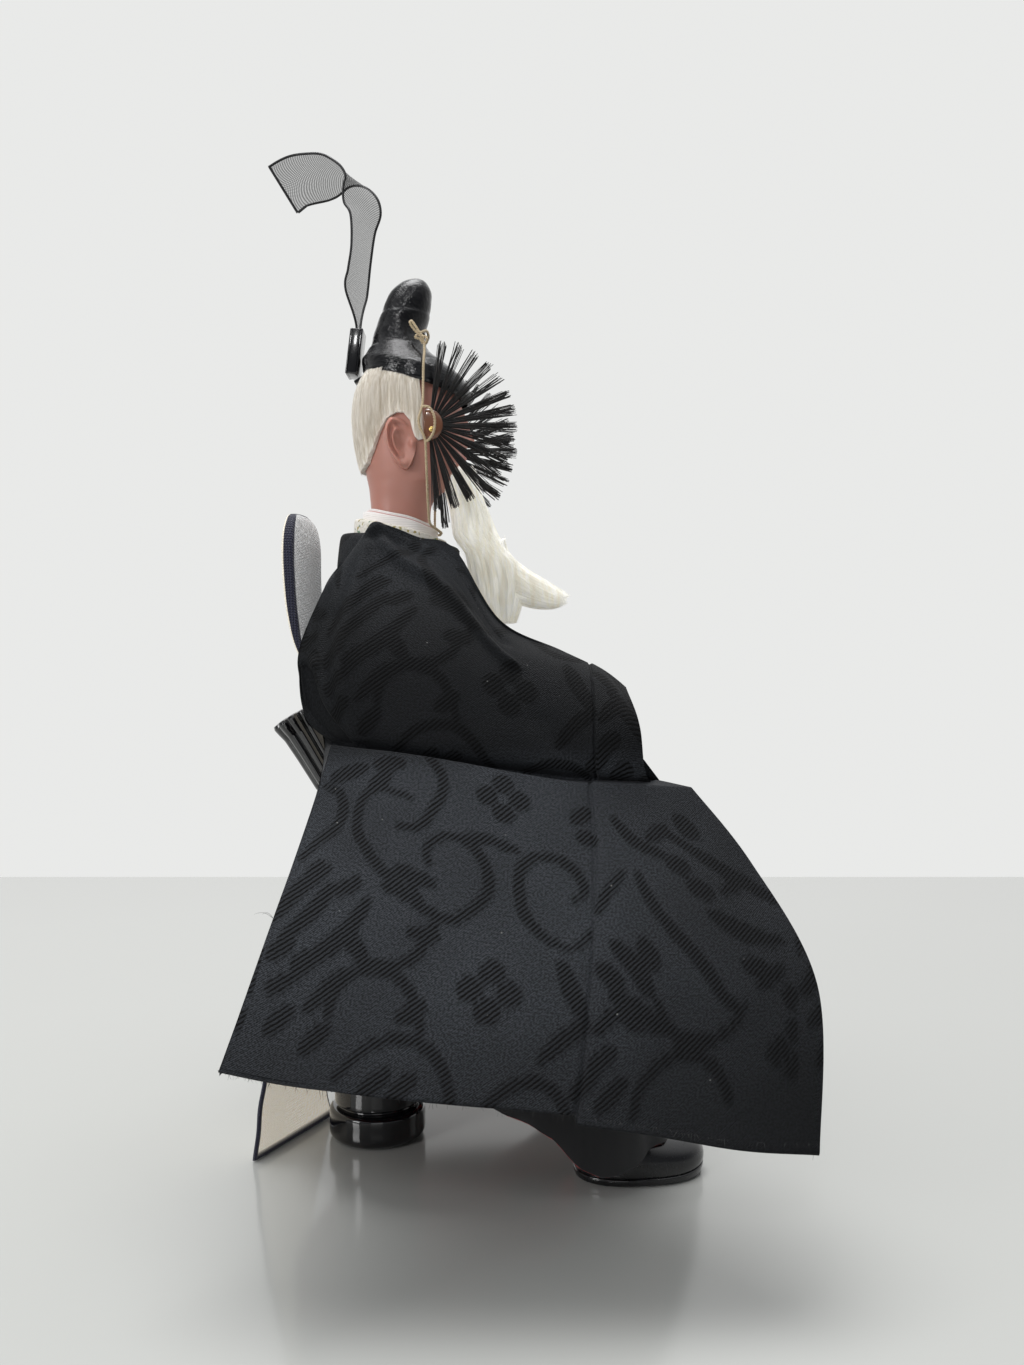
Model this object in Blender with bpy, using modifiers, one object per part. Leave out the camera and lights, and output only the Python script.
"""A seated court guard of a hina doll set, dressed in a black brocade robe.

The doll faces -Y and its right side is -X. The origin is on the table, under the middle of the stool.
Lengths are in metres. "Forward" below is the distance along -Y, and "side" is the distance to the doll's left.
"""

import math

import bmesh
import bpy
from mathutils import Matrix, Vector

# Fit between neighbouring pieces
GAP = 0.0003

# Stool
SEAT_HEIGHT = 0.044
SEAT_RADIUS = 0.0136
SEAT_THICKNESS = 0.0030
STOOL_RADIUS = 0.0100
FOOT_RADIUS = 0.0112
FOOT_HEIGHT = 0.0073
GROOVE_WIDTH = 0.0009
GROOVE_DEPTH = 0.0011

# Trunk, and the heights that everything above the seat is set from
TRUNK_HEIGHT = 0.0922
WAIST_HEIGHT = SEAT_HEIGHT + 0.041
TRUNK_TOP = SEAT_HEIGHT + GAP + TRUNK_HEIGHT
PEG_RADIUS = 0.0020
PEG_DEPTH = 0.0090
PEG_REACH = 0.0130

# Clothes
CLOTH = 0.0009
BELT_HEIGHT = 0.0050
BELT_THICKNESS = 0.0010
COLLAR_THICKNESS = 0.0013
HEM_HEIGHT = 0.0260
SLEEVE_CLOTH = 0.0008
TROUSER_CLOTH = 0.0008
FOLD_DEPTH = 0.0005

# Limbs
LEG_RADIUS = 0.0040
ARM_RADIUS = 0.0024
SHOE_LENGTH = 0.0292
SHOE_WIDTH = 0.0182
SHOE_HEIGHT = 0.0100
SHOE_SIDE = 0.0195
SHOE_FORWARD = 0.0590
TOE_IN = math.radians(8)

# Head and what it wears
HEAD_WIDTH = 0.0204
EAR_HEIGHT = 0.0120
EAR_WIDTH = 0.0064
EAR_DEPTH = 0.0022
HAIR_THICKNESS = 0.0018
FAN_RADIUS = 0.0195
FAN_THICKNESS = 0.0010
FAN_TUFTS = 14
HUB_RADIUS = 0.0040
CORD_RADIUS = 0.0004
HOLDER_HEIGHT = 0.0107
HOLDER_DEPTH = 0.0032
HOLDER_WIDTH = 0.0060
TAIL_WIDTH = 0.0105
TAIL_THICKNESS = 0.0005

# Back of the doll
QUIVER_LENGTH = 0.0180
QUIVER_DEPTH = 0.0120
QUIVER_WIDTH = 0.0200
QUIVER_RIBS = 12
QUIVER_RIB_DEPTH = 0.0009
QUIVER_LEAN = math.radians(30)
TRAIN_WIDTH = 0.0290
TRAIN_THICKNESS = 0.0012
TRAIN_PADDING = 0.0036

SMOOTH_ANGLE = math.radians(35)


# Placing and shaping

def at(side, forward, height):
    """A point by its distance to the doll's left, its distance forward and its height."""
    return Vector((side, -forward, height))


def mix(a, b, share):
    return a + (b - a) * share


def spline(rows, count):
    """Rows of numbers spaced along one smooth curve through the given rows."""
    last = len(rows) - 1
    result = []
    for step in range(count):
        place = step * last / (count - 1)
        i = min(int(place), last - 1)
        t = place - i
        before = rows[max(i - 1, 0)]
        after = rows[min(i + 2, last)]
        row = []
        for p, q, r, s in zip(before, rows[i], rows[i + 1], after):
            bend = 2 * p - 5 * q + 4 * r - s
            turn = 3 * q - p - 3 * r + s
            row.append(q + 0.5 * t * (r - p + t * (bend + t * turn)))
        result.append(row)
    return result


def row_at(rows, height):
    """The row of a table of heights at one height, with straight runs between the rows."""
    for low, high in zip(rows, rows[1:]):
        bottom, top = sorted((low[0], high[0]))
        if bottom <= height <= top:
            share = (height - low[0]) / (high[0] - low[0])
            return [mix(a, b, share) for a, b in zip(low, high)]
    return list(rows[-1] if abs(rows[-1][0] - height) < abs(rows[0][0] - height) else rows[0])


def oval(height, back, front, half_width, slope=0.0, square=2.0, count=32, side=0.0, grow=0.0, folds=(0, 0.0)):
    """A level or sloping ring. Its squareness is 2 for an ellipse and more for a box with round corners."""
    middle = (front + back) / 2
    half_depth = (front - back) / 2 + grow
    half_width = half_width + grow
    number, depth = folds
    ring = []
    for i in range(count):
        angle = 2 * math.pi * i / count
        wave = 1 + depth * math.cos(number * angle) / half_width
        sine, cosine = math.sin(angle), math.cos(angle)
        across = math.copysign(abs(sine) ** (2 / square), sine) * half_width * wave
        along = math.copysign(abs(cosine) ** (2 / square), cosine) * half_depth * wave
        ring.append(at(side + across, middle + along, height + slope * along))
    return ring


# Making objects

def collection(name):
    made = bpy.data.collections.new(name)
    bpy.context.scene.collection.children.link(made)
    return made


def material(name, colour, roughness, metallic=0.0):
    made = bpy.data.materials.new(name)
    made.use_nodes = True
    shader = made.node_tree.nodes["Principled BSDF"]
    shader.inputs["Base Color"].default_value = (*colour, 1)
    shader.inputs["Roughness"].default_value = roughness
    shader.inputs["Metallic"].default_value = metallic
    return made


def add(name, mesh, finish=None, cutter=False):
    """An object from a bmesh, in the doll's collection or among the cutters."""
    data = bpy.data.meshes.new(name)
    mesh.to_mesh(data)
    mesh.free()
    made = bpy.data.objects.new(name, data)
    if cutter:
        cutters.objects.link(made)
        made.hide_render = True
        made.display_type = "WIRE"
        return made
    doll.objects.link(made)
    data.materials.append(finish)
    data.shade_smooth()
    data.set_sharp_from_angle(angle=SMOOTH_ANGLE)
    return made


def loft(rings, start=True, end=True, around=False):
    """A skin over rings of points. Its ends are closed, left open, or joined to each other."""
    mesh = bmesh.new()
    rows = [[mesh.verts.new(point) for point in ring] for ring in rings]
    pairs = list(zip(rows, rows[1:]))
    if around:
        pairs.append((rows[-1], rows[0]))
    for low, high in pairs:
        for i in range(len(low)):
            j = (i + 1) % len(low)
            mesh.faces.new((low[i], low[j], high[j], high[i]))
    if start and not around:
        mesh.faces.new(rows[0])
    if end and not around:
        mesh.faces.new(rows[-1])
    bmesh.ops.recalc_face_normals(mesh, faces=mesh.faces)
    return mesh


def thicken(piece, thickness, offset=-1.0):
    solid = piece.modifiers.new("wall", "SOLIDIFY")
    solid.thickness = thickness
    solid.offset = offset
    return piece


def combine(piece, other, operation):
    """Cut one object with another, or join them."""
    boolean = piece.modifiers.new(operation.lower(), "BOOLEAN")
    boolean.operation = operation
    boolean.object = other
    boolean.solver = "EXACT"
    return piece


def turned(name, profile, finish, steps=28):
    """A turned piece from a profile of radius and height, given from the top down."""
    mesh = bmesh.new()
    points = [mesh.verts.new((radius, 0, height)) for radius, height in profile]
    for first, second in zip(points, points[1:]):
        mesh.edges.new((first, second))
    piece = add(name, mesh, finish)
    screw = piece.modifiers.new("turn", "SCREW")
    screw.steps = steps
    screw.render_steps = steps
    screw.use_merge_vertices = True
    screw.merge_threshold = 0.00005
    screw.use_smooth_shade = False
    return piece


def tube(name, points, radius, finish, cyclic=False, resolution=2, cutter=False):
    """A round bar, limb or cord along a line of points."""
    data = bpy.data.curves.new(name, "CURVE")
    data.dimensions = "3D"
    line = data.splines.new("POLY")
    line.points.add(len(points) - 1)
    for target, point in zip(line.points, points):
        target.co = (*point, 1)
    line.use_cyclic_u = cyclic
    data.bevel_depth = radius
    data.bevel_resolution = resolution
    data.use_fill_caps = True
    guide = bpy.data.objects.new(name, data)
    bpy.context.scene.collection.objects.link(guide)
    bpy.context.view_layer.update()
    skin = bpy.data.meshes.new_from_object(guide.evaluated_get(bpy.context.evaluated_depsgraph_get()))
    bpy.data.objects.remove(guide)
    mesh = bmesh.new()
    mesh.from_mesh(skin)
    bpy.data.meshes.remove(skin)
    bmesh.ops.remove_doubles(mesh, verts=mesh.verts, dist=0.00001)
    bmesh.ops.recalc_face_normals(mesh, faces=mesh.faces)
    return add(name, mesh, finish, cutter)


def pair(build, *values):
    """Build the right piece and its mirror image for the left side."""
    for name, mirror in (("right", 1), ("left", -1)):
        build(name, mirror, *values)


def mirrored(mesh, mirror):
    """Pieces are shaped for the doll's right side, and turned over for its left."""
    if mirror < 0:
        bmesh.ops.scale(mesh, verts=mesh.verts, vec=(-1, 1, 1))
        bmesh.ops.reverse_faces(mesh, faces=mesh.faces)
    return mesh


for old in list(bpy.data.objects):
    bpy.data.objects.remove(old)
doll = collection("hina_doll")
cutters = collection("cutters")

lacquer = (0.006, 0.006, 0.007)
brocade = (0.018, 0.019, 0.022)
skin_colour = (0.60, 0.27, 0.19)
fibre = (0.78, 0.75, 0.69)


# Stool: one turned piece with a seat plate, a drum and a foot below a groove

def stool():
    seat_bottom = SEAT_HEIGHT - SEAT_THICKNESS
    groove_top = FOOT_HEIGHT + GROOVE_WIDTH
    groove_radius = STOOL_RADIUS - GROOVE_DEPTH
    rounding = 0.0016
    profile = [(0, SEAT_HEIGHT), (SEAT_RADIUS - 0.0008, SEAT_HEIGHT), (SEAT_RADIUS, SEAT_HEIGHT - 0.0008)]
    profile += [(SEAT_RADIUS, seat_bottom + 0.0006), (SEAT_RADIUS - 0.0006, seat_bottom)]
    profile += [(STOOL_RADIUS, seat_bottom - 0.0015), (STOOL_RADIUS, groove_top)]
    profile += [(groove_radius, groove_top), (groove_radius, FOOT_HEIGHT)]
    profile += [(FOOT_RADIUS - 0.0005, FOOT_HEIGHT), (FOOT_RADIUS, FOOT_HEIGHT - 0.0005)]
    for step in range(5):
        angle = math.radians(90) * step / 4
        profile.append((FOOT_RADIUS - rounding * (1 - math.cos(angle)), rounding * (1 - math.sin(angle))))
    profile.append((0, 0))
    turned("stool", profile, material("stool_lacquer", lacquer, 0.08))


# Trunk: the stuffed core, which sits on the stool and holds the neck peg

def rise(share):
    """A height between the seat and the top of the trunk."""
    return SEAT_HEIGHT + GAP + TRUNK_HEIGHT * share


TRUNK = [
    (rise(0.0), -0.0090, 0.0150, 0.0130),
    (rise(0.02), -0.0095, 0.0170, 0.0145),
    (rise(0.125), -0.0090, 0.0200, 0.0160),
    (rise(0.28), -0.0035, 0.0185, 0.0140),
    (rise(0.44), 0.0010, 0.0150, 0.0115),
    (rise(0.56), -0.0015, 0.0145, 0.0125),
    (rise(0.71), -0.0050, 0.0152, 0.0150),
    (rise(0.885), -0.0065, 0.0162, 0.0170),
    (rise(0.972), -0.0050, 0.0150, 0.0150),
    (rise(1.0), -0.0025, 0.0130, 0.0092),
]
NECK_FORWARD = 0.0054


def trunk():
    rings = [oval(*row, count=20) for row in TRUNK]
    piece = add("trunk_core", loft(rings), material("stuffing", (0.55, 0.42, 0.24), 0.9))
    top = at(0, NECK_FORWARD, TRUNK_TOP + GAP)
    bottom = at(0, NECK_FORWARD, TRUNK_TOP - PEG_DEPTH - GAP)
    room = tube("peg_room_trunk", [bottom, top], PEG_RADIUS + GAP, None, cutter=True)
    combine(piece, room, "DIFFERENCE")
    low = at(0, NECK_FORWARD, TRUNK_TOP - PEG_DEPTH)
    high = at(0, NECK_FORWARD, TRUNK_TOP + PEG_REACH)
    tube("neck_peg", [low, high], PEG_RADIUS, material("peg_wood", (0.62, 0.43, 0.24), 0.7))


# Robe: a stiff shell round the trunk, with its rows given by height, back, front and half width

def up(distance):
    """A height above the waist."""
    return WAIST_HEIGHT + distance


ROBE = [
    (up(0.0543), -0.0076, 0.0186, 0.0130, -0.20),
    (up(0.0549), -0.0082, 0.0190, 0.0170, -0.20),
    (up(0.0530), -0.0088, 0.0193, 0.0196, -0.14),
    (up(0.0450), -0.0094, 0.0196, 0.0204, 0.0),
    (up(0.0330), -0.0092, 0.0196, 0.0194, 0.0),
    (up(0.0190), -0.0065, 0.0190, 0.0170, 0.0),
    (up(0.0080), -0.0026, 0.0180, 0.0150, 0.0),
    (up(0.0), -0.0010, 0.0176, 0.0144, 0.0),
    (up(-0.0035), -0.0012, 0.0180, 0.0148, 0.0),
]
SKIRT = [
    (up(-0.0035) - GAP, -0.0012, 0.0180, 0.0148, 2.0),
    (up(-0.0080), -0.0045, 0.0230, 0.0185, 2.2),
    (up(-0.0150), -0.0095, 0.0340, 0.0250, 2.8),
    (up(-0.0230), -0.0125, 0.0470, 0.0310, 3.4),
    (up(-0.0330), -0.0145, 0.0575, 0.0345, 4.0),
    (mix(up(-0.0330), HEM_HEIGHT, 0.5), -0.0155, 0.0620, 0.0362, 4.0),
    (HEM_HEIGHT, -0.0165, 0.0650, 0.0375, 4.0),
]
SHOULDER = (0.0050, up(0.0395), 0.0192)
ELBOW = (0.0090, up(0.0180), 0.0292)
ARM_HOLE = ARM_RADIUS + 0.0008


def robe():
    rings = []
    for height, back, front, half_width, slope in ROBE:
        rings.append(oval(height, back, front, half_width, slope, count=26))
    piece = thicken(add("robe_body", loft(rings, False, False), material("robe_brocade", brocade, 0.6)), CLOTH)
    for mirror in (1, -1):
        combine(piece, arm_room("robe", mirror), "DIFFERENCE")
    rings = []
    for place, (height, back, front, half_width, square) in enumerate(SKIRT):
        fold = (10, FOLD_DEPTH * 1.6 * max(0, place - 2) / (len(SKIRT) - 3))
        rings.append(oval(height, back, front, half_width, square=square, count=40, folds=fold))
    thicken(add("robe_skirt", loft(rings, False, False), material("skirt_brocade", brocade, 0.6)), CLOTH)


def belt():
    rings = []
    heights = [up(BELT_HEIGHT * share) for share in (-0.5, 0.0, 0.5)]
    for grow, order in ((GAP, heights), (GAP + BELT_THICKNESS, heights[::-1])):
        for height in order:
            _, back, front, half_width, _ = row_at(ROBE, height)
            rings.append(oval(height, back, front, half_width, count=26, grow=grow))
    add("belt", loft(rings, around=True), material("belt_leather", (0.012, 0.011, 0.011), 0.25))


def band(name, bottom, top, rows, thickness, finish):
    """A standing collar: rows of back, front and half width at its foot and at its sloping upper edge."""
    foot, lip, slope = rows
    rings = []
    for height, row, lean in ((bottom, foot, 0.0), (top, lip, slope)):
        rings.append(oval(height, *row, slope=lean, count=28))
    for height, row, lean in ((top, lip, slope), (bottom, foot, 0.0)):
        rings.append(oval(height, *row, slope=lean, count=28, grow=-thickness))
    add(name, loft(rings, around=True), finish)


def collars():
    white = material("collar_white", (0.80, 0.74, 0.71), 0.75)
    gold = material("collar_brocade", (0.72, 0.68, 0.58), 0.7)
    black = material("collar_black", brocade, 0.6)
    neck = TRUNK_TOP + GAP
    inner = ((-0.0033, 0.0141, 0.0088), (-0.0033, 0.0141, 0.0088), -0.24)
    middle = ((-0.0056, 0.0164, 0.0108), (-0.0052, 0.0160, 0.0105), -0.23)
    outer = ((-0.0073, 0.0182, 0.0125), (-0.0070, 0.0178, 0.0122), -0.16)
    band("under_collar", neck, neck + 0.0072, inner, COLLAR_THICKNESS, white)
    band("brocade_collar", neck - 0.0002, neck + 0.0041, middle, COLLAR_THICKNESS + 0.0003, gold)
    band("robe_collar", neck - 0.0008, neck + 0.0024, outer, COLLAR_THICKNESS - 0.0003, black)


# Arms: wire limbs padded round, from the trunk through the armhole to the wrist

ARM = [SHOULDER, (0.0055, up(0.0335), 0.0246), ELBOW, (0.0170, up(0.0118), 0.0296),
       (0.0300, up(0.0100), 0.0294), (0.0450, up(0.0095), 0.0291)]


def limb(rows, mirror, count):
    """A smooth line through rows of forward, height and side."""
    return [at(-mirror * side, forward, height) for forward, height, side in spline(rows, count)]


def arm_room(name, mirror):
    """What is cut out of the robe and the sleeve where the arm goes through."""
    start = Vector(ARM[0])
    way = Vector(ARM[1]) - start
    rows = [tuple(start - way * 0.25), tuple(start + way * 2.0)]
    return tube(f"arm_room_{name}_{mirror}", limb(rows, mirror, 2), ARM_HOLE, None, cutter=True)


def arm(name, mirror):
    padding = material(f"arm_{name}", (0.70, 0.66, 0.60), 0.85)
    tube(f"arm_{name}", limb(ARM, mirror, 14), ARM_RADIUS, padding)
    hand(name, mirror)


def hand(name, mirror):
    """A loosely closed hand on the wrist, with its fingers curled round and its thumb on top."""
    forward, height, side = ARM[-1]
    wrist = forward + GAP
    palm = [(0.0, 0.0020, 0.0021), (0.0020, 0.0023, 0.0030), (0.0050, 0.0026, 0.0039),
            (0.0078, 0.0024, 0.0038), (0.0092, 0.0015, 0.0028)]
    rings = []
    for along, half_width, half_height in palm:
        ring = []
        for i in range(10):
            angle = 2 * math.pi * i / 10
            point = (side + half_width * math.cos(angle), wrist + along, height + half_height * math.sin(angle))
            ring.append(at(-point[0], point[1], point[2]))
        rings.append(ring)
    finish = material(f"hand_{name}", skin_colour, 0.45)
    piece = add(f"hand_{name}", mirrored(loft(rings), mirror), finish)
    for finger in range(4):
        level = height + 0.0027 - finger * 0.0018
        reach = 0.0108 - abs(finger - 1.2) * 0.0006
        rows = [(wrist + 0.0060, level, side + 0.0010), (wrist + reach - 0.0012, level, side + 0.0014),
                (wrist + reach, level, side - 0.0004), (wrist + reach - 0.0014, level, side - 0.0026),
                (wrist + 0.0066, level, side - 0.0028)]
        name_of = f"finger_{finger}_{name}"
        knuckle = tube(name_of, limb(rows, mirror, 5), 0.00105, None, resolution=1, cutter=True)
        combine(piece, knuckle, "UNION")
    rows = [(wrist + 0.0020, height + 0.0022, side - 0.0008), (wrist + 0.0050, height + 0.0038, side - 0.0016),
            (wrist + 0.0082, height + 0.0036, side - 0.0024)]
    thumb = tube(f"thumb_{name}", limb(rows, mirror, 4), 0.00115, None, resolution=1, cutter=True)
    combine(piece, thumb, "UNION")


# Sleeves: a stiff bag from the shoulder, creased at the elbow, whose lower part hangs wide and flat

# Each line of the sleeve runs from its back to its mouth, in rows of forward, height above the waist and side.
SLEEVE = [
    # ridge from the shoulder down to the top of the cuff
    [(-0.0040, 0.0505, 0.0225), (0.0020, 0.0548, 0.0213), (0.0110, 0.0535, 0.0213), (0.0190, 0.0505, 0.0220),
     (0.0290, 0.0345, 0.0250), (0.0416, 0.0280, 0.0265), (0.0500, 0.0236, 0.0275), (0.0553, 0.0197, 0.0280)],
    # outer side over the upper arm
    [(-0.0085, 0.0400, 0.0262), (-0.0010, 0.0440, 0.0262), (0.0110, 0.0430, 0.0266), (0.0200, 0.0385, 0.0285),
     (0.0300, 0.0285, 0.0312), (0.0420, 0.0235, 0.0330), (0.0505, 0.0200, 0.0340), (0.0562, 0.0165, 0.0345)],
    [(-0.0124, 0.0270, 0.0298), (-0.0040, 0.0280, 0.0330), (0.0070, 0.0280, 0.0340), (0.0180, 0.0250, 0.0352),
     (0.0300, 0.0200, 0.0365), (0.0420, 0.0165, 0.0372), (0.0510, 0.0140, 0.0376), (0.0574, 0.0110, 0.0378)],
    # just above the crease
    [(-0.0095, 0.0140, 0.0320), (-0.0020, 0.0125, 0.0362), (0.0080, 0.0110, 0.0380), (0.0190, 0.0095, 0.0386),
     (0.0300, 0.0075, 0.0390), (0.0420, 0.0055, 0.0392), (0.0515, 0.0040, 0.0392), (0.0583, 0.0030, 0.0390)],
    # the crease itself
    [(-0.0058, 0.0085, 0.0325), (0.0010, 0.0072, 0.0345), (0.0090, 0.0062, 0.0352), (0.0200, 0.0048, 0.0356),
     (0.0310, 0.0030, 0.0358), (0.0430, 0.0015, 0.0358), (0.0525, 0.0008, 0.0358), (0.0610, 0.0006, 0.0356)],
    # upper edge of the hanging part
    [(-0.0052, 0.0083, 0.0360), (0.0010, 0.0078, 0.0388), (0.0095, 0.0070, 0.0398), (0.0210, 0.0052, 0.0402),
     (0.0330, 0.0030, 0.0405), (0.0460, 0.0010, 0.0405), (0.0570, 0.0004, 0.0402), (0.0675, -0.0002, 0.0396)],
    [(-0.0082, -0.0050, 0.0450), (0.0000, -0.0060, 0.0480), (0.0100, -0.0070, 0.0488), (0.0225, -0.0085, 0.0492),
     (0.0355, -0.0100, 0.0496), (0.0500, -0.0115, 0.0498), (0.0630, -0.0125, 0.0492), (0.0756, -0.0135, 0.0478)],
    [(-0.0125, -0.0240, 0.0600), (-0.0030, -0.0252, 0.0618), (0.0090, -0.0265, 0.0628), (0.0230, -0.0280, 0.0634),
     (0.0375, -0.0295, 0.0638), (0.0535, -0.0312, 0.0640), (0.0690, -0.0325, 0.0634), (0.0840, -0.0335, 0.0612)],
    # lower edge, outside and then inside
    [(-0.0168, -0.0445, 0.0755), (-0.0060, -0.0456, 0.0768), (0.0080, -0.0470, 0.0774), (0.0230, -0.0484, 0.0778),
     (0.0380, -0.0498, 0.0780), (0.0540, -0.0514, 0.0780), (0.0690, -0.0530, 0.0772), (0.0820, -0.0545, 0.0750)],
    [(-0.0160, -0.0450, 0.0722), (-0.0050, -0.0462, 0.0736), (0.0085, -0.0476, 0.0742), (0.0235, -0.0490, 0.0746),
     (0.0385, -0.0504, 0.0748), (0.0540, -0.0520, 0.0748), (0.0690, -0.0535, 0.0740), (0.0815, -0.0548, 0.0718)],
    # inner side, back up to the shoulder
    [(-0.0115, -0.0250, 0.0545), (-0.0020, -0.0265, 0.0550), (0.0090, -0.0280, 0.0554), (0.0230, -0.0295, 0.0558),
     (0.0375, -0.0310, 0.0560), (0.0530, -0.0325, 0.0560), (0.0680, -0.0338, 0.0554), (0.0820, -0.0345, 0.0535)],
    [(-0.0070, -0.0060, 0.0380), (0.0010, -0.0075, 0.0360), (0.0100, -0.0085, 0.0356), (0.0225, -0.0095, 0.0354),
     (0.0355, -0.0105, 0.0352), (0.0495, -0.0118, 0.0350), (0.0620, -0.0128, 0.0346), (0.0730, -0.0135, 0.0340)],
    [(-0.0070, 0.0070, 0.0290), (0.0010, 0.0040, 0.0250), (0.0100, 0.0020, 0.0238), (0.0220, 0.0010, 0.0236),
     (0.0330, 0.0000, 0.0236), (0.0440, -0.0005, 0.0236), (0.0540, -0.0010, 0.0234), (0.0610, -0.0010, 0.0232)],
    [(-0.0100, 0.0230, 0.0255), (-0.0020, 0.0220, 0.0222), (0.0080, 0.0210, 0.0216), (0.0190, 0.0190, 0.0216),
     (0.0300, 0.0150, 0.0218), (0.0410, 0.0130, 0.0222), (0.0500, 0.0115, 0.0226), (0.0555, 0.0100, 0.0230)],
    [(-0.0075, 0.0385, 0.0235), (-0.0010, 0.0415, 0.0216), (0.0100, 0.0410, 0.0214), (0.0190, 0.0370, 0.0216),
     (0.0290, 0.0260, 0.0226), (0.0410, 0.0215, 0.0234), (0.0500, 0.0185, 0.0240), (0.0550, 0.0155, 0.0246)],
]
SLEEVE_STEPS = 13


def sleeve(name, mirror):
    lines = []
    for line in SLEEVE:
        points = []
        for forward, height, side in spline(line, SLEEVE_STEPS):
            points.append(at(-side, forward, up(height)))
        lines.append(points)
    rings = [[line[step] for line in lines] for step in range(SLEEVE_STEPS)]
    finish = material(f"sleeve_{name}_brocade", brocade, 0.6)
    piece = add(f"sleeve_{name}", mirrored(loft(rings, True, False), mirror), finish)
    thicken(piece, SLEEVE_CLOTH)
    combine(piece, arm_room("sleeve", mirror), "DIFFERENCE")


# Legs: padded cores from the trunk to the shoes, inside wide trouser legs whose hems fall over the shoes

LEG = [(0.0198, SEAT_HEIGHT + 0.0090, 0.0090), (0.0310, SEAT_HEIGHT + 0.0092, 0.0150),
       (0.0415, SEAT_HEIGHT + 0.0065, 0.0190), (0.0462, mix(SHOE_HEIGHT, SEAT_HEIGHT, 0.84), 0.0200),
       (0.0480, mix(SHOE_HEIGHT, SEAT_HEIGHT, 0.42), 0.0202), (0.0490, SHOE_HEIGHT + GAP, 0.0204)]

# Rows of forward, height, lean in degrees, half depth, half width, side and drop of the ring's sides
TROUSER = [
    (0.0215, SEAT_HEIGHT + 0.0092, 90, 0.0072, 0.0072, 0.0110, 0.0),
    (0.0320, SEAT_HEIGHT + 0.0094, 84, 0.0078, 0.0082, 0.0152, 0.0),
    (0.0430, SEAT_HEIGHT + 0.0060, 45, 0.0092, 0.0100, 0.0190, 0.0),
    (0.0470, SEAT_HEIGHT - 0.0050, 8, 0.0100, 0.0108, 0.0200, 0.0),
    (0.0468, 0.0270, 0, 0.0135, 0.0115, 0.0204, 0.0005),
    (0.0455, 0.0172, -3, 0.0180, 0.0128, 0.0205, 0.0045),
    (0.0450, 0.0128, -6, 0.0207, 0.0131, 0.0205, 0.0104),
]


TROUSER_SIDES = 20


def leg(name, mirror):
    padding = material(f"leg_{name}", (0.70, 0.66, 0.60), 0.85)
    tube(f"leg_{name}", limb(LEG, mirror, 12), LEG_RADIUS, padding, resolution=2)
    rings = []
    for place, row in enumerate(spline(TROUSER, 9)):
        forward, height, lean, half_depth, half_width, side, drop = row
        angle_of_ring = math.radians(lean)
        waves = FOLD_DEPTH * max(0, place - 4) / 4
        ring = []
        for i in range(TROUSER_SIDES):
            angle = 2 * math.pi * i / TROUSER_SIDES
            wave = 1 + waves * math.cos(6 * angle) / half_width
            along = half_depth * wave * math.cos(angle)
            across = half_width * wave * math.sin(angle)
            level = height + along * math.sin(angle_of_ring) - drop * math.sin(angle) ** 4
            ring.append(at(-side + across, forward + along * math.cos(angle_of_ring), level))
        rings.append(ring)
    cloth = material(f"trouser_{name}_cloth", (0.016, 0.016, 0.018), 0.7)
    mesh = mirrored(loft(rings, False, False), mirror)
    thicken(add(f"trouser_{name}", mesh, cloth), TROUSER_CLOTH)


def shoe(name, mirror):
    """A black shoe with a broad round toe, standing flat on the table."""
    rows = [(0.0, 0.95, 0.88, 0.0), (0.05, 1.0, 0.98, 0.0), (0.28, 1.0, 1.0, 0.0), (0.55, 0.97, 0.97, -0.01),
            (0.78, 0.87, 0.86, -0.05), (0.94, 0.55, 0.68, -0.17), (1.0, 0.34, 0.50, -0.23)]
    rings = []
    for share, length, width, shift in rows:
        half = SHOE_LENGTH * length / 2
        middle = SHOE_LENGTH * shift
        half_width = SHOE_WIDTH * width / 2
        rings.append(oval(SHOE_HEIGHT * share, middle - half, middle + half, half_width, square=2.3, count=24))
    mesh = loft(rings)
    place = Matrix.Translation(at(-SHOE_SIDE, SHOE_FORWARD, 0)) @ Matrix.Rotation(TOE_IN, 4, "Z")
    bmesh.ops.transform(mesh, matrix=place, verts=mesh.verts)
    add(f"shoe_{name}", mirrored(mesh, mirror), material(f"shoe_{name}_lacquer", lacquer, 0.12))


# Head: neck, face and ears in one, hung on the peg

def above(distance):
    """A height above the foot of the neck."""
    return TRUNK_TOP + GAP + distance


HEAD = [
    (above(0.0), -0.0012, 0.0120, 0.64),
    (above(0.0062), -0.0013, 0.0123, 0.64),
    (above(0.0112), -0.0016, 0.0128, 0.67),
    (above(0.0142), -0.0019, 0.0155, 0.75),
    (above(0.0158), -0.0022, 0.0188, 0.81),
    (above(0.0177), -0.0026, 0.0203, 0.87),
    (above(0.0212), -0.0031, 0.0204, 0.93),
    (above(0.0262), -0.0035, 0.0202, 0.98),
    (above(0.0312), -0.0036, 0.0200, 1.0),
    (above(0.0362), -0.0030, 0.0190, 0.97),
    (above(0.0402), -0.0017, 0.0172, 0.88),
    (above(0.0432), 0.0002, 0.0146, 0.72),
    (above(0.0452), 0.0028, 0.0118, 0.48),
    (above(0.0460), 0.0055, 0.0092, 0.22),
]
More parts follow.
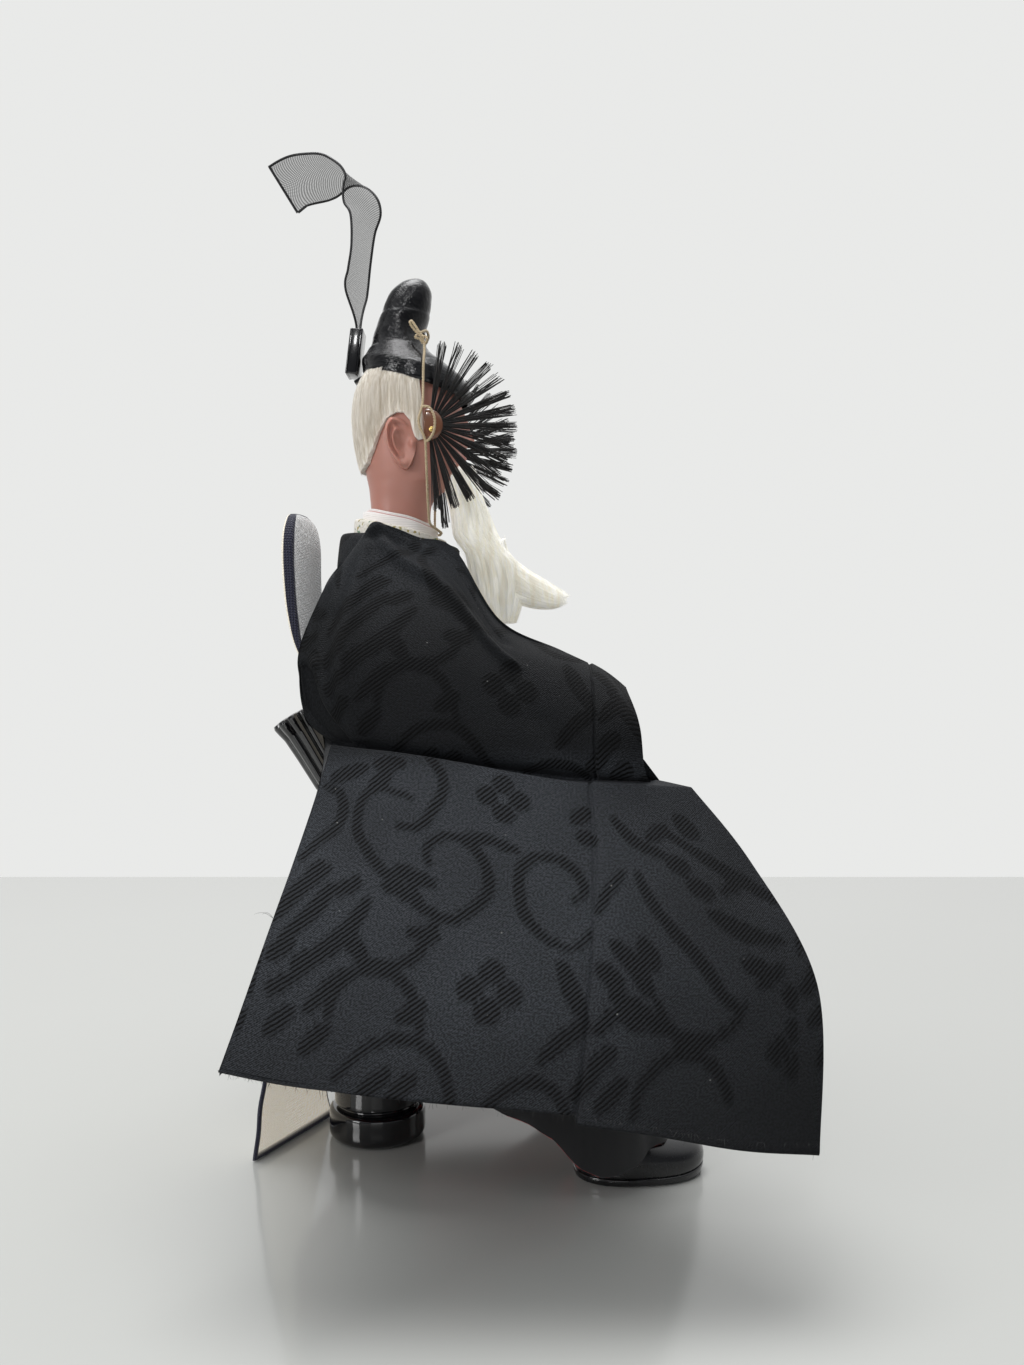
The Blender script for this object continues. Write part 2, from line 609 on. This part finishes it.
# The relief of the face: height above the neck's foot, side, width, height and depth of each swelling
FACE = [
    (0.0290, 0.0, 0.0016, 0.0030, 0.0016),
    (0.0262, 0.0, 0.0019, 0.0016, 0.0016),
    (0.0325, 0.0044, 0.0026, 0.0014, 0.0005),
    (0.0303, 0.0043, 0.0020, 0.0015, -0.0010),
    (0.0262, 0.0062, 0.0026, 0.0026, 0.0004),
    (0.0226, 0.0, 0.0030, 0.0010, 0.0005),
    (0.0188, 0.0, 0.0034, 0.0018, 0.0007),
]


def head_rings(grow=0.0, count=26, steps=18):
    rings = []
    for height, back, front, width in spline(HEAD, steps):
        ring = oval(height, back, front, HEAD_WIDTH / 2 * width, square=2.15, count=count, grow=grow)
        for point in ring:
            if -point.y > NECK_FORWARD + 0.004:
                for level, side, wide, tall, depth in FACE:
                    spread = ((abs(point.x) - side) / wide) ** 2 + ((height - above(level)) / tall) ** 2
                    point.y -= depth * math.exp(-spread)
        rings.append(ring)
    return rings


def ear(mirror):
    """An ear as a flat shell, dished on its outer side."""
    mesh = bmesh.new()
    bmesh.ops.create_uvsphere(mesh, u_segments=14, v_segments=9, radius=1)
    bmesh.ops.scale(mesh, verts=mesh.verts, vec=(EAR_DEPTH, EAR_WIDTH / 2, EAR_HEIGHT / 2))
    for vertex in mesh.verts:
        low = max(0.0, -vertex.co.z / EAR_HEIGHT)
        vertex.co.y *= 1 - 0.7 * low
        dish = math.exp(-(vertex.co.y / 0.0016) ** 2 - ((vertex.co.z - 0.0010) / 0.0030) ** 2)
        if vertex.co.x < 0:
            vertex.co.x += 0.0012 * dish
    place = Matrix.Translation(at(-HEAD_WIDTH / 2 - 0.0003, 0.0052, above(0.0252)))
    tilt = Matrix.Rotation(math.radians(14), 4, "X") @ Matrix.Rotation(math.radians(-14), 4, "Z")
    bmesh.ops.transform(mesh, matrix=place @ tilt, verts=mesh.verts)
    return add(f"ear_{mirror}", mirrored(mesh, mirror), cutter=True)


def head():
    piece = add("head", loft(head_rings()), material("head_skin", skin_colour, 0.45))
    for mirror in (1, -1):
        combine(piece, ear(mirror), "UNION")
    bottom = at(0, NECK_FORWARD, TRUNK_TOP - GAP)
    top = at(0, NECK_FORWARD, TRUNK_TOP + PEG_REACH + GAP)
    room = tube("peg_room_head", [bottom, top], PEG_RADIUS + GAP, None, cutter=True)
    combine(piece, room, "DIFFERENCE")


def head_room():
    """The head with its clearance, cut out of what is worn on it."""
    rings = head_rings(GAP + 0.0001)
    for ring in rings[-4:]:
        for point in ring:
            point.z += GAP + 0.0001
    return add("head_room", loft(rings), cutter=True)


def hair():
    """Combed back from the temples and cut off round above the neck, with a lock before each ear."""
    # rows of forward, height above the neck's foot and share of the way round the head, from the back
    edge = [(0.0, 0.0188), (0.35, 0.0190), (0.52, 0.0236), (0.62, 0.0290), (0.72, 0.0330), (0.82, 0.0338),
            (0.90, 0.0336), (0.945, 0.0275), (1.0, 0.0266)]
    columns = 21
    rows = 4
    half_turn = math.radians(101)
    grid = []
    for column in range(columns):
        turn = (2 * column / (columns - 1) - 1)
        angle = math.pi + turn * half_turn
        low = above(row_at([(a, b) for a, b in edge], abs(turn))[1])
        line = []
        for row in range(rows):
            first = row_at(HEAD, low)
            middle = (first[2] + first[1]) / 2
            top = cap_rim(middle + (first[2] - first[1]) / 2 * math.cos(angle)) - 2 * GAP
            height = mix(low, top, row / (rows - 1))
            _, back, front, width = row_at(HEAD, height)
            centre = (front + back) / 2
            out = GAP + 0.0003
            across = (HEAD_WIDTH / 2 * width + out) * math.sin(angle)
            along = ((front - back) / 2 + out) * math.cos(angle)
            line.append(at(across, centre + along, height))
        grid.append(line)
    mesh = bmesh.new()
    points = [[mesh.verts.new(point) for point in line] for line in grid]
    for first, second in zip(points, points[1:]):
        for i in range(rows - 1):
            mesh.faces.new((first[i], second[i], second[i + 1], first[i + 1]))
    bmesh.ops.recalc_face_normals(mesh, faces=mesh.faces)
    piece = add("hair", mesh, material("hair_fibre", fibre, 0.6))
    thicken(piece, HAIR_THICKNESS, 1.0)
    combine(piece, head_room(), "DIFFERENCE")


# Beard: a lock from the chin with a tuft that sweeps forward. Rows of back, front and half width.

BEARD = [
    (0.0152, 0.0197, 0.0228, 0.0203, 0.0058),
    (0.0158, 0.0142, 0.0240, 0.0145, 0.0072),
    (0.0175, 0.0091, 0.0257, 0.0105, 0.0074),
    (0.0178, 0.0038, 0.0278, 0.0049, 0.0070),
    (0.0206, 0.0000, 0.0302, 0.0006, 0.0064),
    (0.0212, -0.0026, 0.0332, -0.0029, 0.0058),
    (0.0222, -0.0083, 0.0345, -0.0073, 0.0048),
    (0.0234, -0.0123, 0.0338, -0.0123, 0.0036),
    (0.0262, -0.0173, 0.0325, -0.0168, 0.0016),
]
TUFT = [
    (0.0255, -0.0058, 0.0300, 0.0000, 0.0044),
    (0.0300, -0.0108, 0.0340, -0.0031, 0.0038),
    (0.0360, -0.0132, 0.0387, -0.0064, 0.0030),
    (0.0412, -0.0135, 0.0429, -0.0095, 0.0018),
    (0.0433, -0.0122, 0.0438, -0.0112, 0.0007),
]


def lock(rows, steps, count=16):
    """A lock of fibre through rows of forward and height for its two edges, and its half width."""
    rings = []
    for back, back_height, front, front_height, half_width in spline(rows, steps):
        ring = []
        for i in range(count):
            angle = 2 * math.pi * i / count
            share = (1 + math.cos(angle)) / 2
            forward = mix(back, front, share)
            height = above(mix(back_height, front_height, share))
            ring.append(at(half_width * math.sin(angle), forward, height))
        rings.append(ring)
    return loft(rings)


def beard():
    piece = add("beard", lock(BEARD, 13), material("beard_fibre", fibre, 0.6))
    combine(piece, add("beard_tuft", lock(TUFT, 7), cutter=True), "UNION")
    combine(piece, head_room(), "DIFFERENCE")


# Cap: one lacquered piece, low over the forehead, with a tall crest behind

# Rows of height, back, front, half width and slope
CAP = [
    (above(0.0381), -0.0030, 0.0209, 0.0109, -0.30),
    (above(0.0394), -0.0033, 0.0219, 0.0112, -0.28),
    (above(0.0422), -0.0034, 0.0206, 0.0108, -0.22),
    (above(0.0444), -0.0033, 0.0170, 0.0096, -0.14),
    (above(0.0468), -0.0031, 0.0126, 0.0078, -0.06),
    (above(0.0480), -0.0020, 0.0118, 0.0066, 0.0),
    (above(0.0515), -0.0009, 0.0112, 0.0062, 0.0),
    (above(0.0552), 0.0005, 0.0122, 0.0060, 0.0),
    (above(0.0599), 0.0024, 0.0130, 0.0053, 0.0),
    (above(0.0626), 0.0048, 0.0122, 0.0038, 0.0),
    (above(0.0638), 0.0074, 0.0106, 0.0016, 0.0),
]


def cap_rim(forward):
    """The height of the cap's rim at one place."""
    height, back, front, _, slope = CAP[0]
    return height + slope * (forward - (front + back) / 2)


def cap():
    rings = [oval(height, back, front, width, slope, count=28) for height, back, front, width, slope in CAP]
    piece = add("cap", loft(rings), material("cap_lacquer", lacquer, 0.2))
    combine(piece, head_room(), "DIFFERENCE")


HOLDER_LEAN = 0.0013
HOLDER_FRONT = CAP[2][1] - 3 * GAP


def tail_holder():
    """A flat socket behind the cap, leaning back, with a slot on top for the tail."""
    half = HOLDER_WIDTH / 2
    low, high = above(0.0412), above(0.0412) + HOLDER_HEIGHT
    front = HOLDER_FRONT
    lean = HOLDER_LEAN
    mesh = bmesh.new()
    bmesh.ops.create_cube(mesh, size=1)
    for vertex in mesh.verts:
        along = front - HOLDER_DEPTH * (0.5 + vertex.co.y)
        if vertex.co.z > 0:
            along += lean
        height = high if vertex.co.z > 0 else low
        vertex.co = at(math.copysign(half, vertex.co.x), along, height)
    bmesh.ops.recalc_face_normals(mesh, faces=mesh.faces)
    piece = add("tail_holder", mesh, material("holder_lacquer", lacquer, 0.15))
    slot = bmesh.new()
    bmesh.ops.create_cube(slot, size=1)
    deep = 0.0060
    width = TAIL_FOOT + 2 * GAP
    bmesh.ops.scale(slot, verts=slot.verts, vec=(width, TAIL_THICKNESS + 2 * GAP, 2 * deep))
    bmesh.ops.translate(slot, verts=slot.verts, vec=at(0, front + lean - HOLDER_DEPTH / 2 - GAP, high))
    combine(piece, add("tail_slot", slot, cutter=True), "DIFFERENCE")
    rounding = piece.modifiers.new("edges", "BEVEL")
    rounding.width = 0.0003
    rounding.segments = 1
    rounding.limit_method = "ANGLE"


# Tail: a wired ribbon of net, which rises from its holder, twists and falls backwards

TAIL_FOOT = 0.0034
# Rows of forward, height above the holder's slot, side, share of the full width, and the ribbon's turn in degrees
TAIL = [
    (0.0000, -0.0050, 0.0, 0.32, 0),
    (0.0000, 0.0010, 0.0, 0.32, 0),
    (-0.0006, 0.0070, 0.0, 0.80, 4),
    (-0.0016, 0.0130, 0.0, 1.0, 10),
    (-0.0002, 0.0190, 0.0, 1.0, 18),
    (0.0010, 0.0245, 0.0, 1.0, 36),
    (0.0012, 0.0300, 0.0, 1.0, 52),
    (-0.0004, 0.0345, 0.0, 0.95, 40),
]
FALL = [
    (-0.0035, 0.0372, 0.0, 0.72, 20, 35),
    (-0.0072, 0.0386, 0.0, 0.80, 45, 66),
    (-0.0120, 0.0384, 0.0, 0.95, 60, 90),
    (-0.0165, 0.0368, 0.0, 1.0, 62, 112),
    (-0.0198, 0.0352, 0.0, 1.0, 62, 122),
]


def tail():
    """Each ring is a thin flat bar across the ribbon's line."""
    height = above(0.0412) + HOLDER_HEIGHT
    back = HOLDER_FRONT + HOLDER_LEAN - HOLDER_DEPTH / 2 - GAP
    rows = [(*row, 0) for row in TAIL] + FALL
    lines = spline(rows, 26)
    centres = [at(side, back + forward, height + rise_) for forward, rise_, side, _, _, _ in lines]
    rings = []
    for i, row in enumerate(lines):
        before, after = centres[max(i - 1, 0)], centres[min(i + 1, len(centres) - 1)]
        way = (after - before).normalized()
        width = TAIL_WIDTH * row[3]
        across = Vector((1, 0, 0))
        across.rotate(Matrix.Rotation(math.radians(row[4]), 3, way))
        normal = way.cross(across).normalized()
        ring = []
        for side, face in ((-1, -1), (0, -1), (1, -1), (1, 1), (0, 1), (-1, 1)):
            ring.append(centres[i] + across * side * width / 2 + normal * face * TAIL_THICKNESS / 2)
        rings.append(ring)
    add("tail", loft(rings), material("tail_net", (0.010, 0.010, 0.011), 0.6))


# Ear fans: half discs of stiff bristle, each in a half-round hub beside the ear

FAN_FORWARD = 0.0128
FAN_HEIGHT = above(0.0269)


def fan(name, mirror):
    """A flat outline of separate tufts round a half-round hub, which reaches in to the cheek."""
    data = bpy.data.curves.new(f"fan_{name}", "CURVE")
    data.dimensions = "2D"
    data.fill_mode = "BOTH"
    data.extrude = FAN_THICKNESS / 2
    points = []
    span = math.radians(172)
    pitch = span / FAN_TUFTS
    for tuft in range(FAN_TUFTS):
        middle = -span / 2 + pitch * (tuft + 0.5)
        length = FAN_RADIUS * (1 - 0.03 * (tuft % 2))
        for radius, offset in ((HUB_RADIUS * 1.25, -0.42), (length * 0.985, -0.40), (length, -0.10),
                               (length * 0.975, 0.40), (HUB_RADIUS * 1.25, 0.42)):
            angle = middle + pitch * offset
            points.append((radius * math.cos(angle), radius * math.sin(angle)))
    line = data.splines.new("POLY")
    line.points.add(len(points) + 1)
    ends = [(0.0, HUB_RADIUS), (0.0, -HUB_RADIUS)]
    for target, point in zip(line.points, points + ends):
        target.co = (*point, 0, 1)
    line.use_cyclic_u = True
    guide = bpy.data.objects.new(f"fan_{name}", data)
    bpy.context.scene.collection.objects.link(guide)
    bpy.context.view_layer.update()
    skin = bpy.data.meshes.new_from_object(guide.evaluated_get(bpy.context.evaluated_depsgraph_get()))
    bpy.data.objects.remove(guide)
    mesh = bmesh.new()
    mesh.from_mesh(skin)
    bpy.data.meshes.remove(skin)
    bmesh.ops.remove_doubles(mesh, verts=mesh.verts, dist=0.00001)
    bmesh.ops.recalc_face_normals(mesh, faces=mesh.faces)
    # the outline's x becomes forward, its y becomes up, and its thickness lies across the doll
    upright = Matrix(((0, 0, -1, 0), (-1, 0, 0, 0), (0, 1, 0, 0), (0, 0, 0, 1)))
    plane = HEAD_WIDTH / 2 + HAIR_THICKNESS + 4 * GAP + FAN_THICKNESS / 2
    place = Matrix.Translation(at(-plane, FAN_FORWARD, FAN_HEIGHT))
    bmesh.ops.transform(mesh, matrix=place @ upright, verts=mesh.verts)
    bmesh.ops.recalc_face_normals(mesh, faces=mesh.faces)
    piece = add(f"fan_{name}", mirrored(mesh, mirror), material(f"bristle_{name}", (0.008, 0.007, 0.007), 0.4))
    cheek = HEAD_WIDTH / 2 - 0.0004
    start = at(-mirror * cheek, FAN_FORWARD + 0.0018, FAN_HEIGHT)
    stop = at(-mirror * (plane + FAN_THICKNESS), FAN_FORWARD + 0.0018, FAN_HEIGHT)
    hub = tube(f"fan_hub_{name}", [start, stop], 0.0016, None, cutter=True)
    combine(piece, hub, "UNION")
    combine(piece, head_room(), "DIFFERENCE")


# Cap cord: one loop round the front of the crest, down past both hubs and under the chin

def cord():
    crest = CAP[6]
    out = GAP + CORD_RADIUS
    hub = HEAD_WIDTH / 2 + HAIR_THICKNESS + 4 * GAP + 2 * FAN_THICKNESS + out
    rows = [
        (crest[2] + out + 0.0001, above(0.0517), 0.0),
        (crest[2] + 0.0002, above(0.0518), 0.0040),
        (0.0094, above(0.0514), 0.0070),
        (0.0110, above(0.0475), 0.0103),
        (0.0113, above(0.0425), 0.0125),
        (0.0115, above(0.0360), 0.0137),
        (FAN_FORWARD, above(0.0280), hub),
        (0.0117, above(0.0210), hub - 0.0002),
        (0.0124, above(0.0145), 0.0112),
        (0.0136, above(0.0108), 0.0062),
        (0.0143, above(0.0098), 0.0),
    ]
    right = spline(rows, 19)
    left = [(forward, height, -side) for forward, height, side in right[-2:0:-1]]
    points = [at(-side, forward, height) for forward, height, side in right + left]
    tube("cap_cord", points, CORD_RADIUS, material("cord_beige", (0.50, 0.38, 0.22), 0.7), cyclic=True, resolution=1)


# Quiver: a fluted case on the back, leaning out at its top, where the arrows would stand

def quiver():
    out = math.sin(QUIVER_LEAN)
    down = math.cos(QUIVER_LEAN)
    belt_back = -row_at(ROBE, WAIST_HEIGHT)[1] + GAP + BELT_THICKNESS
    foot = at(0, -(belt_back + 2 * GAP + TRAIN_THICKNESS) - QUIVER_DEPTH / 2 * down, up(-0.0022))
    way = Vector((0, out, down))
    thick = Vector((0, -down, out))
    rings = []
    for along, scale in ((0.0, 0.82), (0.05, 0.90), (0.92, 1.0), (1.0, 0.97), (1.0, 0.80), (0.93, 0.78)):
        ring = []
        for i in range(QUIVER_RIBS * 4):
            angle = 2 * math.pi * i / (QUIVER_RIBS * 4)
            lobe = abs(math.cos(QUIVER_RIBS * angle / 2)) - 1
            depth = scale * (QUIVER_DEPTH / 2 + QUIVER_RIB_DEPTH * lobe) * math.cos(angle)
            width = scale * (QUIVER_WIDTH / 2 + QUIVER_RIB_DEPTH * lobe) * math.sin(angle)
            ring.append(foot + way * along * QUIVER_LENGTH + thick * depth + Vector((width, 0, 0)))
        rings.append(ring)
    add("quiver", loft(rings), material("quiver_lacquer", lacquer, 0.1))


# Train: a strip of cream brocade, padded where it stands up behind the shoulders, held by the belt, and
# hanging to the table. Rows of height, forward, share of the padding, backward curl and turn in degrees.

TRAIN = [
    (up(0.0606), -0.0146, 0.30, 0.0010, 10),
    (up(0.0598), -0.0144, 0.75, 0.0010, 10),
    (up(0.0460), -0.0142, 1.0, 0.0012, 10),
    (up(0.0360), -0.0136, 0.85, 0.0010, 9),
    (up(0.0280), -0.0122, 0.45, 0.0006, 7),
    (up(0.0190), -0.0088, 0.10, 0.0003, 4),
    (up(0.0100), -0.0055, 0.0, 0.0, 2),
    (up(0.0025), -0.0040, 0.0, 0.0, 0),
    (up(-0.0025), -0.0038, 0.0, 0.0, 0),
    (up(-0.0090), -0.0075, 0.0, 0.0, 0),
    (up(-0.0150), -0.0112, 0.0, 0.0, 0),
    (up(-0.0230), -0.0142, 0.0, 0.0, 0),
    (up(-0.0330), -0.0164, 0.0, 0.0, 1),
    (mix(up(-0.0330), HEM_HEIGHT, 0.5), -0.0176, 0.0, 0.0, 3),
    (HEM_HEIGHT, -0.0196, 0.0, 0.0, 8),
    (HEM_HEIGHT / 2, -0.0196, 0.0, 0.0, 17),
    (0.0002, -0.0190, 0.0, 0.0, 26),
]
TRAIN_SIDE = -0.0030


def train():
    rings = []
    columns = 9
    for height, forward, padding, curl, turn in TRAIN:
        thickness = mix(TRAIN_THICKNESS, TRAIN_PADDING, padding)
        angle = math.radians(turn)
        front, back = [], []
        for column in range(columns):
            share = 2 * column / (columns - 1) - 1
            across = TRAIN_WIDTH / 2 * share
            bow = -curl * share * share
            half = thickness / 2 * (1 - 0.35 * padding * abs(share) ** 3)
            for face, points in ((half, front), (-half, back)):
                along = forward + across * math.sin(angle) + (bow + face) * math.cos(angle)
                points.append(at(TRAIN_SIDE + across * math.cos(angle), along, height))
        rings.append(front + back[::-1])
    add("train", loft(rings), material("train_brocade", (0.66, 0.60, 0.50), 0.8))


stool()
trunk()
robe()
belt()
collars()
pair(arm)
pair(sleeve)
pair(leg)
pair(shoe)
head()
hair()
beard()
cap()
tail_holder()
tail()
pair(fan)
cord()
quiver()
train()
